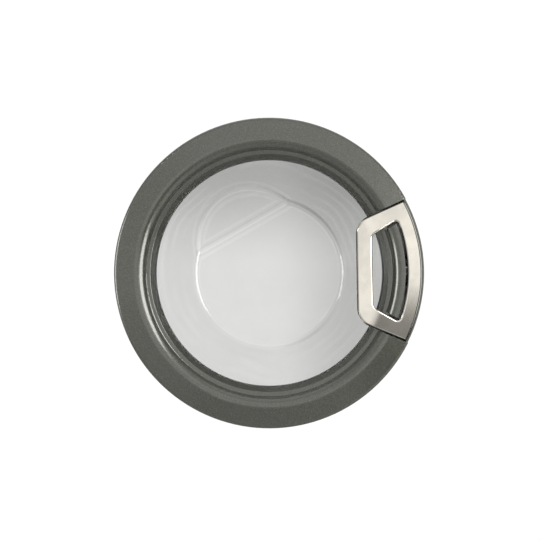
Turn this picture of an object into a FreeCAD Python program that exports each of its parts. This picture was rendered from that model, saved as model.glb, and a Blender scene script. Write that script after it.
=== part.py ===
import FreeCAD, Part
import math
import os

from FreeCAD import Vector

# Front-loading washing machine door: a round bezel with a glass bowl, a loop handle that works
# a latch hook, and a concealed hinge whose bracket bolts to the cabinet.
# Door coordinates: the ring's axis is Y, the rear plane is y = 0, the front faces -Y, +Z is up.
# A depth is a distance in front of the rear plane, so y = -depth.

# Bezel ring
RING_RADIUS = 232.5
RING_WALL = 3.0
RIM_ROUND = 5.0
BAND_WIDTH = 30.5
BAND_DEPTH = 42.0
BAND_SLOPE = 7.5
SHOULDER_WIDTH = 17.6
SHOULDER_ROUND = 16.0
FLANK_SLOPE = 60.0
LEDGE_WIDTH = 5.9
LEDGE_DEPTH = 31.3
LEDGE_FALL = 1.0
LEDGE_ROUND = 1.6
LIP_WIDTH = 6.0
SKIRT_REAR = 2.0
BAND_INNER_RADIUS = RING_RADIUS - BAND_WIDTH
LEDGE_OUTER_RADIUS = BAND_INNER_RADIUS - SHOULDER_WIDTH
LEDGE_INNER_RADIUS = LEDGE_OUTER_RADIUS - LEDGE_WIDTH
LIP_RADIUS = LEDGE_INNER_RADIUS - LIP_WIDTH

# Glass bowl
GLASS_WALL = 5.0
GLASS_FRONT = 20.0
GLASS_OVERLAP = 17.5
BOWL_MOUTH_COVER = 1.5
BOWL_MOUTH_ROUND = 4.0
BOWL_FLOOR_RADIUS = 115.0
BOWL_FLOOR_DEPTH = -62.0
BOWL_FLOOR_ROUND = 11.0
FACET_ANGLE = 119.0
FACET_SAGITTA = 32.0
FACET_SPREAD = 1.68
GLASS_FLANGE_RADIUS = LIP_RADIUS + GLASS_OVERLAP
BOWL_MOUTH_RADIUS = LIP_RADIUS + BOWL_MOUTH_COVER
FACET_OFFSET = BOWL_FLOOR_RADIUS - FACET_SAGITTA

# Rear frame
FRAME_PLATE = 4.0
FRAME_EDGE_SETBACK = 1.0
CLAMP_SETBACK = 3.0
CLAMP_WALL = 5.5
STIFFENER_SETBACK = 11.5
STIFFENER_WALL = 2.5
STIFFENER_HEIGHT = 8.0
RIB_COUNT = 36
RIB_WALL = 2.0
RIB_HEIGHT = 6.0
PART_GAP = 0.4
BEAD_SETBACK = 2.0
BEAD_WIDTH = 8.0
BEAD_HEIGHT = 2.5
BEAD_ROUND = 1.5
GROOVE_SETBACK = 16.5
GROOVE_WIDTH = 3.0
GROOVE_DEPTH = 1.2
COLLAR_WALL = 3.0
COLLAR_HEIGHT = 2.0
SAME_PLACE = 0.01
FRAME_INNER_RADIUS = LIP_RADIUS + FRAME_EDGE_SETBACK
CLAMP_OUTER_RADIUS = GLASS_FLANGE_RADIUS - CLAMP_SETBACK
CLAMP_INNER_RADIUS = CLAMP_OUTER_RADIUS - CLAMP_WALL
STIFFENER_RADIUS = RING_RADIUS - STIFFENER_SETBACK

# Screws that join frame and ring
SCREW_SETBACK = 27.5
SCREW_ANGLES = (45, 75, 105, 135, 160, 200, 225, 255, 285, 315)
BOSS_RADIUS = 4.5
SCREW_SHANK = 1.95
SCREW_LENGTH = 18.0
SCREW_HEAD_RADIUS = 4.0
SCREW_HEAD = 1.8
SCREW_GAP = 0.05
WELL_DEPTH = 2.0
WELL_GAP = 0.5
SCREW_CIRCLE = RING_RADIUS - SCREW_SETBACK

# Hinge
HINGE_SETBACK = 13.5
HINGE_DEPTH = 18.0
HINGE_PIN_RADIUS = 3.0
PIN_GAP = 0.05
PIN_HEAD = 2.0
PIN_HEAD_EXTRA = 2.0
CLIP_THICKNESS = 1.2
CLIP_GROOVE = 0.7
CLIP_RIM = 3.0
BUSH_WALL = 1.2
BUSH_FLANGE = 1.2
BUSH_FLANGE_EXTRA = 1.4
EYE_RADIUS = 6.0
ARM_INNER_Z = 26.0
ARM_HEIGHT = 12.0
ARM_WALL = 4.0
ARM_REACH = 24.0
ARM_SHIFT = 1.0
CABINET_GAP = 11.0
BRACKET_PLATE = 4.0
BRACKET_WIDTH = 36.0
BRACKET_HEIGHT = 116.0
BRACKET_CORNER = 6.0
BRACKET_OFFSET = 23.0
BOLT_RADIUS = 3.3
BOLT_EDGE = 11.0
HINGE_SIDE_GAP = 0.3
HINGE_SLOT_GAP = 1.5
LEAF_BASE = 4.0
LEAF_REACH = 22.0
LEAF_SCREW_OFFSET = 15.0
LEAF_SCREW_EDGE = 6.5
LEAF_SCREW_COUNT = 4
HINGE_X = HINGE_SETBACK - RING_RADIUS
BRACKET_CENTRE_X = HINGE_X + BRACKET_OFFSET
BOLT_SPACING = BRACKET_HEIGHT - 2 * BOLT_EDGE

# Handle outline, seen from the front
HANDLE_RIM_SETBACK = 3.0
HANDLE_REACH = 99.5
HANDLE_BAR_WIDTH = 23.8
HANDLE_HALF_HEIGHT = 105.8
HANDLE_ARM_SLOPE = 23.3
HANDLE_CORNER_ROUND = 30.0
HANDLE_RIM_WIDTH = 23.2
HANDLE_TIP_ROUND = 4.5
OPENING_CORNER_Z = 53.4
OPENING_CORNER_ROUND = 11.0
OPENING_ARM_SLOPE = 29.8
OPENING_TIP_ROUND = 5.0
HANDLE_GAP = 1.0
ISLAND_RIM_GAP = 3.3
ISLAND_GAP = 3.5
HANDLE_OUTER_RADIUS = RING_RADIUS - HANDLE_RIM_SETBACK
HANDLE_BAR_X = HANDLE_OUTER_RADIUS - HANDLE_REACH
OPENING_RADIUS = HANDLE_OUTER_RADIUS - HANDLE_RIM_WIDTH
ISLAND_RADIUS = OPENING_RADIUS - ISLAND_RIM_GAP

# Handle thickness and lever
GRIP_WALL = 7.5
GRIP_CREST_REACH = 38.0
GRIP_CREST_ROUND = 80.0
GRIP_FALL_REACH = 10.0
GRIP_FALL_DROP = 4.9
GRIP_EDGE_ROUND = 3.4
OPENING_EDGE_ROUND = 3.0
GRIP_WRAP_WALL = 2.1
GRIP_WRAP_DROP = 3.5
LEVER_PLATE = 2.0
LEVER_WELL = 1.0
LEVER_INSET = 2.4
LEVER_ROOM = 0.9
RIM_ROOM = 5.0
HANDLE_PIN_SETBACK = 12.5
HANDLE_PIN_DROP = 12.5
HANDLE_PIN_RADIUS = 2.5
EAR_INNER_Z = 23.0
EAR_WALL = 6.0
EAR_RADIUS = 6.0
POST_WALL = 6.0
POST_RADIUS = 5.5
SIDE_GAP = 0.5
BAR_SCREW_Z = 30.0
ARM_SCREW_REACH = 46.0
HANDLE_SCREW_LENGTH = 7.0
GRIP_BACK = BAND_DEPTH - GRIP_WALL
NOTCH_DEPTH = GRIP_BACK - LEVER_PLATE - LEVER_ROOM
RIM_LOW_DEPTH = GRIP_BACK - GRIP_WRAP_DROP - RIM_ROOM
HANDLE_PIN_X = HANDLE_OUTER_RADIUS - HANDLE_PIN_SETBACK
HANDLE_PIN_DEPTH = GRIP_BACK - HANDLE_PIN_DROP

# Latch hook and the stirrup that lifts it
HOOK_PIN_OFFSET = 5.0
HOOK_PIN_DEPTH = 10.0
HOOK_PIN_RADIUS = 2.0
HOOK_WIDTH = 10.0
HOOK_EYE_RADIUS = 4.5
HOOK_REACH = 24.0
HOOK_TIP = 8.0
HOOK_NOSE = 12.0
HOOK_ARM_HALF = 4.0
CAM_REACH = 17.0
CAM_WALL = 3.0
CAM_SHIFT = 1.0
HOOK_POST_WALL = 4.0
WINDOW_INWARD = 10.0
WINDOW_OUTWARD = 8.0
STIRRUP_WALL = 4.0
STIRRUP_END_GAP = 1.5
STIRRUP_LEG_OFFSET = 6.0
STIRRUP_BAR_OFFSET = 16.0
STIRRUP_BAR_WALL = 3.0
STIRRUP_GAP = 0.5
HOOK_PIN_X = HANDLE_PIN_X - HOOK_PIN_OFFSET
CAM_UNDER_DEPTH = HOOK_PIN_DEPTH - CAM_SHIFT

# Torsion springs
SPRING_COIL_GAP = 0.5
SPRING_SCALLOP = 0.35
HANDLE_SPRING_WIRE = 1.4
HANDLE_SPRING_TURNS = 8
HOOK_SPRING_WIRE = 0.9
HOOK_SPRING_TURNS = 4

# The row's origin is the centre of the bolt pattern, on the bracket's cabinet face.
ORIGIN = Vector(BRACKET_CENTRE_X, CABINET_GAP, 0)

FRONT_LIMIT = 60.0
UP = Vector(0, 0, 1)


def slope(degrees):
    return math.tan(math.radians(degrees))


def line_meet(point_a, slope_a, point_b, slope_b):
    """Meeting point of two lines, each given by a point and its rise over run."""
    run = (point_b[1] - point_a[1] + slope_a * point_a[0] - slope_b * point_b[0]) / (slope_a - slope_b)
    return run, point_a[1] + slope_a * (run - point_a[0])


def offset_path(points, distance):
    """Open polyline moved sideways by distance, its corners mitred. Negative moves it to the other side."""
    moved = []
    for index, point in enumerate(points):
        before = points[max(index - 1, 0)]
        after = points[min(index + 1, len(points) - 1)]
        normals = []
        for start, end in ((before, point), (point, after)):
            length = math.hypot(end[0] - start[0], end[1] - start[1])
            if length > 0:
                normals.append(((end[1] - start[1]) / length, (start[0] - end[0]) / length))
        first = normals[0]
        last = normals[-1]
        scale = distance / (1 + first[0] * last[0] + first[1] * last[1])
        moved.append((point[0] + scale * (first[0] + last[0]), point[1] + scale * (first[1] + last[1])))
    return moved


def rounded_wire(corners, place):
    """Closed wire through (a, b, radius) corners, each rounded by a tangent arc. place maps (a, b) to 3-D."""
    trimmed = []
    for index, (a, b, radius) in enumerate(corners):
        before = corners[index - 1]
        after = corners[(index + 1) % len(corners)]
        to_before = Vector(before[0] - a, before[1] - b, 0).normalize()
        to_after = Vector(after[0] - a, after[1] - b, 0).normalize()
        corner = Vector(a, b, 0)
        if radius == 0:
            trimmed.append((corner, None, corner))
            continue
        half = to_before.getAngle(to_after) / 2
        reach = radius / math.tan(half)
        bisector = (to_before + to_after).normalize()
        middle = corner + bisector * (radius / math.sin(half) - radius)
        trimmed.append((corner + to_before * reach, middle, corner + to_after * reach))
    edges = []
    for index, (start, middle, end) in enumerate(trimmed):
        if middle is not None:
            edges.append(Part.Arc(place(start), place(middle), place(end)).toShape())
        following = trimmed[(index + 1) % len(trimmed)][0]
        if end.distanceToPoint(following) > 1e-6:
            edges.append(Part.makeLine(place(end), place(following)))
    return Part.Wire(edges)


def profile_point(point):
    """A (radius, depth) point of a turned profile."""
    return Vector(point.x, -point.y, 0)


def outline_point(point):
    """An (x, z) point of an outline seen from the front."""
    return Vector(point.x, 0, point.y)


def turned(corners):
    """Solid turned about the ring's axis from (radius, depth, corner radius) points."""
    face = Part.Face(rounded_wire(corners, profile_point))
    face.rotate(Vector(0, 0, 0), Vector(0, 1, 0), 180)
    return face.revolve(Vector(0, 0, 0), Vector(0, 1, 0), 360)


def tube(inner, outer, depth_low, depth_high):
    corners = [(inner, depth_low, 0), (outer, depth_low, 0), (outer, depth_high, 0), (inner, depth_high, 0)]
    return turned(corners)


def block(x_low, x_high, depth_low, depth_high, z_low, z_high):
    corner = Vector(x_low, -depth_high, z_low)
    return Part.makeBox(x_high - x_low, depth_high - depth_low, z_high - z_low, corner)


def prism(wire, depth_low, depth_high):
    face = Part.Face(wire)
    face.translate(Vector(0, -depth_high, 0))
    return face.extrude(Vector(0, depth_high - depth_low, 0))


def upright(radius, x, depth, z_low, z_high):
    """Cylinder along Z."""
    return Part.makeCylinder(radius, z_high - z_low, Vector(x, -depth, z_low), UP)


def forward(radius, x, z, depth_low, depth_high):
    """Cylinder along the ring's axis."""
    return Part.makeCylinder(radius, depth_high - depth_low, Vector(x, -depth_low, z), Vector(0, -1, 0))


def joined(solids):
    return solids[0].fuse(solids[1:]).removeSplitter()


def on_circle(radius, degrees):
    angle = math.radians(degrees)
    return radius * math.cos(angle), radius * math.sin(angle)


def screw(x, z, head_top, length):
    """Screw driven forwards from the rear: head, then shank."""
    head = forward(SCREW_HEAD_RADIUS, x, z, head_top - SCREW_HEAD, head_top)
    shank = forward(SCREW_SHANK, x, z, head_top, head_top + length)
    return joined([head, shank])


def screw_places():
    return [on_circle(SCREW_CIRCLE, degrees) for degrees in SCREW_ANGLES]


def arm_edge_z(x):
    """Height of the handle's sloping outer edge at x. It meets the handle's rim at its half height."""
    rim_x = math.sqrt(HANDLE_OUTER_RADIUS ** 2 - HANDLE_HALF_HEIGHT ** 2)
    return HANDLE_HALF_HEIGHT + slope(HANDLE_ARM_SLOPE) * (x - rim_x)


def handle_outline(grow):
    """Handle seen from the front, without its opening and carried past the rim, moved out by grow."""
    rise = grow / math.cos(math.radians(HANDLE_ARM_SLOPE))
    left = HANDLE_BAR_X - grow
    right = 2 * RING_RADIUS
    corner = HANDLE_CORNER_ROUND + grow
    corners = [
        (left, -arm_edge_z(left) - rise, corner),
        (right, -arm_edge_z(right) - rise, 0),
        (right, arm_edge_z(right) + rise, 0),
        (left, arm_edge_z(left) + rise, corner),
    ]
    return rounded_wire(corners, outline_point)


def opening_outline(shrink):
    """Finger opening seen from the front, carried past the rim on its right, moved in by shrink."""
    left = HANDLE_BAR_X + HANDLE_BAR_WIDTH
    rise = slope(OPENING_ARM_SLOPE)
    right = 2 * RING_RADIUS
    drop = shrink * math.hypot(1, rise)
    corner_z = OPENING_CORNER_Z + rise * shrink - drop
    right_z = OPENING_CORNER_Z + rise * (right - left) - drop
    corners = [
        (left + shrink, -corner_z, OPENING_CORNER_ROUND),
        (right, -right_z, 0),
        (right, right_z, 0),
        (left + shrink, corner_z, OPENING_CORNER_ROUND),
    ]
    return rounded_wire(corners, outline_point)


def band_depth(radius):
    """Depth of the bezel's flat outer band at a radius."""
    return BAND_DEPTH + (BAND_INNER_RADIUS - radius) * slope(BAND_SLOPE)


def ring_shell():
    """Hollow bezel: rim, sloping band, rounded shoulder, ledge and the lip that meets the glass."""
    shoulder = line_meet(
        (BAND_INNER_RADIUS, BAND_DEPTH), -slope(BAND_SLOPE),
        (LEDGE_OUTER_RADIUS, LEDGE_DEPTH), slope(FLANK_SLOPE))
    path = [
        (RING_RADIUS, SKIRT_REAR),
        (RING_RADIUS, band_depth(RING_RADIUS)),
        shoulder,
        (LEDGE_OUTER_RADIUS, LEDGE_DEPTH),
        (LEDGE_INNER_RADIUS, LEDGE_DEPTH - LEDGE_FALL),
        (LIP_RADIUS, GLASS_FRONT),
    ]
    rounds = [0, RIM_ROUND, SHOULDER_ROUND, LEDGE_ROUND, LEDGE_ROUND, 0]
    inside = offset_path(path, -RING_WALL)
    lip_run = (inside[-1][0] - inside[-2][0]) / (inside[-1][1] - inside[-2][1])
    inside[-1] = (inside[-1][0] + lip_run * (GLASS_FRONT - inside[-1][1]), GLASS_FRONT)
    inner_rounds = [0, RIM_ROUND - RING_WALL, SHOULDER_ROUND - RING_WALL, 0, 0, 0]
    outer_corners = [(a, b, radius) for (a, b), radius in zip(path, rounds)]
    inner_corners = [(a, b, radius) for (a, b), radius in zip(inside, inner_rounds)]
    return turned(outer_corners + inner_corners[::-1])


def handle_recess():
    """Space cut from the bezel: deep at the rim, shallow under the arms, none behind the opening."""
    outline = handle_outline(HANDLE_GAP)
    deep = prism(outline, RIM_LOW_DEPTH, FRONT_LIMIT)
    deep = deep.cut(tube(0, ISLAND_RADIUS, 0, FRONT_LIMIT + 1))
    shallow = prism(outline, NOTCH_DEPTH, FRONT_LIMIT)
    island = prism(opening_outline(ISLAND_GAP), NOTCH_DEPTH - 1, FRONT_LIMIT + 1)
    island = island.common(tube(0, ISLAND_RADIUS, NOTCH_DEPTH - 1, FRONT_LIMIT + 1))
    return deep.fuse(shallow.cut(island))


def outer_ring():
    ring = ring_shell()
    reach = band_depth(SCREW_CIRCLE) - RING_WALL / 2
    bosses = [forward(BOSS_RADIUS, x, z, FRAME_PLATE, reach) for x, z in screw_places()]
    ring = ring.fuse(bosses)
    pilot = SCREW_SHANK + SCREW_GAP
    holes = [forward(pilot, x, z, 0, WELL_DEPTH + SCREW_LENGTH + 1) for x, z in screw_places()]
    return ring.cut(holes + [handle_recess()]).removeSplitter()


def hinge_arm_slot(sign):
    """Slot in the rear frame through which one hinge arm swings out."""
    z_low = ARM_INNER_Z - HINGE_SLOT_GAP
    z_high = ARM_INNER_Z + ARM_HEIGHT + HINGE_SLOT_GAP
    ends = sorted((sign * z_low, sign * z_high))
    right = HINGE_X + ARM_REACH + ARM_WALL + 2 * HINGE_SLOT_GAP
    return block(-RING_RADIUS, right, -1, FRAME_PLATE + 1, ends[0], ends[1])


def frame_ribs():
    """Radial ribs between the clamp wall and the stiffener wall."""
    ribs = []
    length = STIFFENER_RADIUS + STIFFENER_WALL / 2 - CLAMP_OUTER_RADIUS + 1
    for index in range(RIB_COUNT):
        rib = block(0, length, FRAME_PLATE, FRAME_PLATE + RIB_HEIGHT, -RIB_WALL / 2, RIB_WALL / 2)
        rib.translate(Vector(CLAMP_OUTER_RADIUS - 1, 0, 0))
        rib.rotate(Vector(0, 0, 0), Vector(0, 1, 0), index * 360 / RIB_COUNT)
        ribs.append(rib)
    return ribs


def pin_posts(x, depth, radius, inner_z, wall):
    """Pair of upright posts on the rear frame that carry a pivot pin."""
    posts = []
    for z_low in (inner_z, -inner_z - wall):
        eye = upright(radius, x, depth, z_low, z_low + wall)
        web = block(x - radius, x + radius, FRAME_PLATE, depth, z_low, z_low + wall)
        posts.append(eye.fuse(web))
    return posts


def handle_post_z():
    return EAR_INNER_Z + EAR_WALL + SIDE_GAP


def hook_post_z():
    return HOOK_WIDTH / 2 + HOOK_SPRING_WIRE * HOOK_SPRING_TURNS + 2 * SIDE_GAP


def frame_stiffening():
    """Walls and ribs on the front of the rear frame, left out at the hinge, latch and screw bosses."""
    wall_top = FRAME_PLATE + STIFFENER_HEIGHT
    wall = tube(STIFFENER_RADIUS, STIFFENER_RADIUS + STIFFENER_WALL, FRAME_PLATE, wall_top)
    stiffening = wall.fuse(frame_ribs())
    hinge_room = block(-RING_RADIUS, HINGE_X + ARM_REACH + 3 * ARM_WALL, 0, FRONT_LIMIT,
                       -BRACKET_HEIGHT / 2, BRACKET_HEIGHT / 2)
    latch_room = block(CLAMP_OUTER_RADIUS + PART_GAP, RING_RADIUS, 0, FRONT_LIMIT,
                       -HANDLE_HALF_HEIGHT / 2, HANDLE_HALF_HEIGHT / 2)
    boss_room = [forward(BOSS_RADIUS + 1, x, z, 0, FRONT_LIMIT) for x, z in screw_places()]
    return stiffening.cut([hinge_room, latch_room] + boss_room)


def frame_bead():
    """Raised bead on the rear face, around the glass."""
    inner = FRAME_INNER_RADIUS + BEAD_SETBACK
    outer = inner + BEAD_WIDTH
    return turned([
        (inner, FRAME_PLATE / 2, 0),
        (inner, -BEAD_HEIGHT, BEAD_ROUND),
        (outer, -BEAD_HEIGHT, BEAD_ROUND),
        (outer, FRAME_PLATE / 2, 0),
    ])


def window_block(margin, depth_low, depth_high):
    """Block as wide as the hook's window and a margin on every side."""
    half = HOOK_WIDTH / 2 + SIDE_GAP + margin
    left = HOOK_PIN_X - WINDOW_INWARD - margin
    right = HOOK_PIN_X + WINDOW_OUTWARD + margin
    return block(left, right, depth_low, depth_high, -half, half)


def inner_frame():
    plate = tube(FRAME_INNER_RADIUS, RING_RADIUS - RING_WALL - PART_GAP, 0, FRAME_PLATE)
    rim = tube(RING_RADIUS - 3 * RING_WALL, RING_RADIUS - 1, 0, SKIRT_REAR)
    clamp = tube(CLAMP_INNER_RADIUS, CLAMP_OUTER_RADIUS, FRAME_PLATE, GLASS_FRONT - GLASS_WALL)
    collar = window_block(COLLAR_WALL, -COLLAR_HEIGHT, FRAME_PLATE / 2)
    frame = joined([plate, rim, clamp, frame_stiffening(), frame_bead(), collar])
    posts = pin_posts(HANDLE_PIN_X, HANDLE_PIN_DEPTH, POST_RADIUS, handle_post_z(), POST_WALL)
    posts += pin_posts(HOOK_PIN_X, HOOK_PIN_DEPTH, HOOK_EYE_RADIUS, hook_post_z(), HOOK_POST_WALL)
    frame = frame.fuse(posts)
    cuts = [hinge_arm_slot(1), hinge_arm_slot(-1)]
    cuts.append(window_block(0, -COLLAR_HEIGHT - 1, FRAME_PLATE + 1))
    groove_outer = RING_RADIUS - GROOVE_SETBACK
    groove = tube(groove_outer - GROOVE_WIDTH, groove_outer, -1, GROOVE_DEPTH)
    cuts.append(groove.cut(window_block(COLLAR_WALL, -COLLAR_HEIGHT, FRAME_PLATE)))
    post_end = handle_post_z() + POST_WALL + 1
    cuts.append(upright(HANDLE_PIN_RADIUS + PIN_GAP, HANDLE_PIN_X, HANDLE_PIN_DEPTH, -post_end, post_end))
    hook_end = hook_post_z() + HOOK_POST_WALL + 1
    cuts.append(upright(HOOK_PIN_RADIUS + PIN_GAP, HOOK_PIN_X, HOOK_PIN_DEPTH, -hook_end, hook_end))
    for x, z in screw_places() + leaf_screw_places():
        cuts.append(forward(SCREW_SHANK + SCREW_GAP, x, z, -1, FRAME_PLATE + 1))
        cuts.append(forward(SCREW_HEAD_RADIUS + WELL_GAP, x, z, -1, WELL_DEPTH))
    return frame.cut(cuts).removeSplitter()


def frame_screws():
    return Part.makeCompound([screw(x, z, WELL_DEPTH, SCREW_LENGTH) for x, z in screw_places()])


def facet_cutter(wall):
    """Block beyond the slanted flat of the bowl, moved outwards by wall."""
    lean = math.atan(FACET_SPREAD)
    size = 4 * RING_RADIUS
    slab = Part.makeBox(size, size, size, Vector(-size / 2, -size / 2, 0))
    slab.rotate(Vector(0, 0, 0), Vector(1, 0, 0), -math.degrees(lean))
    slab.translate(Vector(0, -BOWL_FLOOR_DEPTH, FACET_OFFSET))
    outward = Vector(0, math.sin(lean), math.cos(lean))
    slab.translate(outward * wall)
    slab.rotate(Vector(0, 0, 0), Vector(0, 1, 0), 90 - FACET_ANGLE)
    return slab


def bowl_body(wall, top_depth):
    """Solid plug with the bowl's conical wall, floor and slanted flat, moved outwards by wall."""
    wall_path = [
        (0, BOWL_FLOOR_DEPTH),
        (BOWL_FLOOR_RADIUS, BOWL_FLOOR_DEPTH),
        (BOWL_MOUTH_RADIUS, GLASS_FRONT),
    ]
    moved = offset_path(wall_path, wall)
    run = (moved[2][0] - moved[1][0]) / (moved[2][1] - moved[1][1])
    top_radius = moved[2][0] + run * (top_depth - moved[2][1])
    plug = turned([
        (0, moved[0][1], 0),
        (moved[1][0], moved[1][1], 0),
        (top_radius, top_depth, 0),
        (0, top_depth, 0),
    ])
    plug = plug.cut(facet_cutter(wall))
    low_edges = [edge for edge in plug.Edges if edge.BoundBox.YMax > -top_depth + 1]
    sharp = [edge for edge in low_edges if len(plug.ancestorsOfType(edge, Part.Face)) == 2]
    return plug.makeFillet(BOWL_FLOOR_ROUND + wall, sharp)


def is_mouth(edge):
    """Whether an edge is the circle where the bowl's inside meets the flange's front."""
    box = edge.BoundBox
    flat = box.YLength < PIN_GAP and abs(box.YMin + GLASS_FRONT) < PIN_GAP
    return flat and abs(box.XMax - BOWL_MOUTH_RADIUS) < 1


def glass_bowl():
    flange = tube(0, GLASS_FLANGE_RADIUS, GLASS_FRONT - GLASS_WALL, GLASS_FRONT)
    body = bowl_body(GLASS_WALL, GLASS_FRONT)
    bowl = body.fuse(flange).cut(bowl_body(0, GLASS_FRONT + 1)).removeSplitter()
    mouth = [edge for edge in bowl.Edges if is_mouth(edge)]
    return bowl.makeFillet(BOWL_MOUTH_ROUND, mouth)


def bush(sign):
    """Flanged nylon bush in a bracket eye. Its flange faces the leaf."""
    outer = HINGE_PIN_RADIUS + PIN_GAP + BUSH_WALL
    z_eye = ARM_INNER_Z
    sleeve = upright(outer, HINGE_X, HINGE_DEPTH, z_eye, z_eye + ARM_HEIGHT)
    flange = upright(outer + BUSH_FLANGE_EXTRA, HINGE_X, HINGE_DEPTH, z_eye - BUSH_FLANGE, z_eye)
    bore = upright(HINGE_PIN_RADIUS + PIN_GAP, HINGE_X, HINGE_DEPTH, 0, 2 * ARM_INNER_Z)
    shape = sleeve.fuse(flange).cut(bore)
    if sign < 0:
        shape = shape.mirror(Vector(0, 0, 0), UP)
    return shape.removeSplitter()


def bracket_arm(sign):
    """Cranked arm: from the plate forwards into the door, then sideways to the pin's eye."""
    z_low = min(sign * ARM_INNER_Z, sign * (ARM_INNER_Z + ARM_HEIGHT))
    z_high = z_low + ARM_HEIGHT
    leg_x = HINGE_X + ARM_REACH
    reach_top = HINGE_DEPTH + ARM_SHIFT + ARM_WALL / 2
    leg = block(leg_x, leg_x + ARM_WALL, BRACKET_PLATE - CABINET_GAP, reach_top, z_low, z_high)
    reach = block(HINGE_X, leg_x + 1, reach_top - ARM_WALL, reach_top, z_low, z_high)
    eye = upright(EYE_RADIUS, HINGE_X, HINGE_DEPTH, z_low, z_high)
    return joined([leg, reach, eye])


def hinge_bracket():
    half_width = BRACKET_WIDTH / 2
    half_height = BRACKET_HEIGHT / 2
    corners = []
    for across, along in ((-1, -1), (1, -1), (1, 1), (-1, 1)):
        corners.append((BRACKET_CENTRE_X + across * half_width, along * half_height, BRACKET_CORNER))
    plate = prism(rounded_wire(corners, outline_point), -CABINET_GAP, BRACKET_PLATE - CABINET_GAP)
    shape = joined([plate, bracket_arm(1), bracket_arm(-1)])
    bore = HINGE_PIN_RADIUS + 2 * PIN_GAP + BUSH_WALL
    cuts = [upright(bore, HINGE_X, HINGE_DEPTH, -BRACKET_HEIGHT, BRACKET_HEIGHT)]
    for z in (-BOLT_SPACING / 2, BOLT_SPACING / 2):
        plate_top = BRACKET_PLATE - CABINET_GAP
        cuts.append(forward(BOLT_RADIUS, BRACKET_CENTRE_X, z, -CABINET_GAP - 1, plate_top + 1))
    return shape.cut(cuts).removeSplitter()


def leaf_screw_places():
    span = 2 * (leaf_half_height() - LEAF_SCREW_EDGE)
    heights = [span * (index / (LEAF_SCREW_COUNT - 1) - 0.5) for index in range(LEAF_SCREW_COUNT)]
    return [(HINGE_X + LEAF_SCREW_OFFSET, z) for z in heights]


def leaf_half_height():
    return ARM_INNER_Z - BUSH_FLANGE - HINGE_SIDE_GAP


def hinge_leaf():
    """Hinge half inside the door: a base on the rear frame and a knuckle round the pin."""
    half = leaf_half_height()
    base_top = FRAME_PLATE + LEAF_BASE
    base = block(HINGE_X - EYE_RADIUS, HINGE_X + LEAF_REACH, FRAME_PLATE, base_top, -half, half)
    web = block(HINGE_X - EYE_RADIUS, HINGE_X + EYE_RADIUS, FRAME_PLATE, HINGE_DEPTH, -half, half)
    knuckle = upright(EYE_RADIUS, HINGE_X, HINGE_DEPTH, -half, half)
    cuts = [upright(HINGE_PIN_RADIUS + PIN_GAP / 2, HINGE_X, HINGE_DEPTH, -half - 1, half + 1)]
    for x, z in leaf_screw_places():
        cuts.append(forward(SCREW_SHANK + SCREW_GAP, x, z, 0, base_top + 1))
    return joined([base, web, knuckle]).cut(cuts)


def hinge_leaf_screws():
    length = FRAME_PLATE - WELL_DEPTH + LEAF_BASE
    return Part.makeCompound([screw(x, z, WELL_DEPTH, length) for x, z in leaf_screw_places()])


def headed_pin(radius, x, depth, half_span):
    """Pivot pin: a head on top, and a groove for a clip below."""
    tail = CLIP_THICKNESS * 2
    shaft = upright(radius, x, depth, -half_span - tail, half_span)
    head = upright(radius + PIN_HEAD_EXTRA, x, depth, half_span, half_span + PIN_HEAD)
    groove = upright(radius + 1, x, depth, -half_span - CLIP_THICKNESS, -half_span)
    core = upright(radius - CLIP_GROOVE, x, depth, -half_span - CLIP_THICKNESS, -half_span)
    return joined([shaft, head]).cut(groove.cut(core))


def pin_clip(radius, x, depth, half_span):
    """Open spring clip in a pin's groove."""
    z_low = -half_span - CLIP_THICKNESS
    disc = upright(radius + CLIP_RIM, x, depth, z_low, -half_span)
    core = radius - CLIP_GROOVE + PIN_GAP
    hole = upright(core, x, depth, z_low - 1, 0)
    mouth = block(x, x + radius + CLIP_RIM + 1, depth - core, depth + core, z_low - 1, 0)
    return disc.cut([hole, mouth])


def hinge_span():
    return ARM_INNER_Z + ARM_HEIGHT + HINGE_SIDE_GAP


def handle_span():
    return handle_post_z() + POST_WALL


def hook_span():
    return hook_post_z() + HOOK_POST_WALL


def boundary_edges(shape, front_limit):
    """Edges where the front of a shape meets its sides, in front of a depth."""
    found = []
    for edge in shape.Edges:
        if edge.BoundBox.YMax > -front_limit:
            continue
        middle = edge.valueAt((edge.FirstParameter + edge.LastParameter) / 2)
        leans = []
        for face in shape.ancestorsOfType(edge, Part.Face):
            u, v = face.Surface.parameter(middle)
            leans.append(abs(face.normalAt(u, v).y))
        if len(leans) == 2 and max(leans) > 0.6 and min(leans) < 0.2:
            found.append(edge)
    return found


def handle_screw_places():
    """Two screws in the bar and one in the middle of each arm."""
    bar_x = HANDLE_BAR_X + HANDLE_BAR_WIDTH / 2
    arm_x = HANDLE_BAR_X + ARM_SCREW_REACH
    opening_z = OPENING_CORNER_Z + slope(OPENING_ARM_SLOPE) * (arm_x - HANDLE_BAR_X - HANDLE_BAR_WIDTH)
    arm_z = (opening_z + arm_edge_z(arm_x)) / 2
    return [(bar_x, BAR_SCREW_Z), (bar_x, -BAR_SCREW_Z), (arm_x, arm_z), (arm_x, -arm_z)]


def axial_edges(shape, radius):
    """Edges along the ring's axis that stand at this radius."""
    found = []
    for edge in shape.Edges:
        box = edge.BoundBox
        upright_edge = max(box.XLength, box.ZLength) < SAME_PLACE
        if upright_edge and abs(math.hypot(box.XMin, box.ZMin) - radius) < SAME_PLACE:
            found.append(edge)
    return found


def trimmed_prism(outline, radius, corner_round):
    """Prism of an outline, trimmed by a cylinder, with the corners on that cylinder rounded."""
    shape = prism(outline, -1, FRONT_LIMIT + 1).common(tube(0, radius, -1, FRONT_LIMIT + 1))
    return shape.makeFillet(corner_round, axial_edges(shape, radius))


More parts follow.
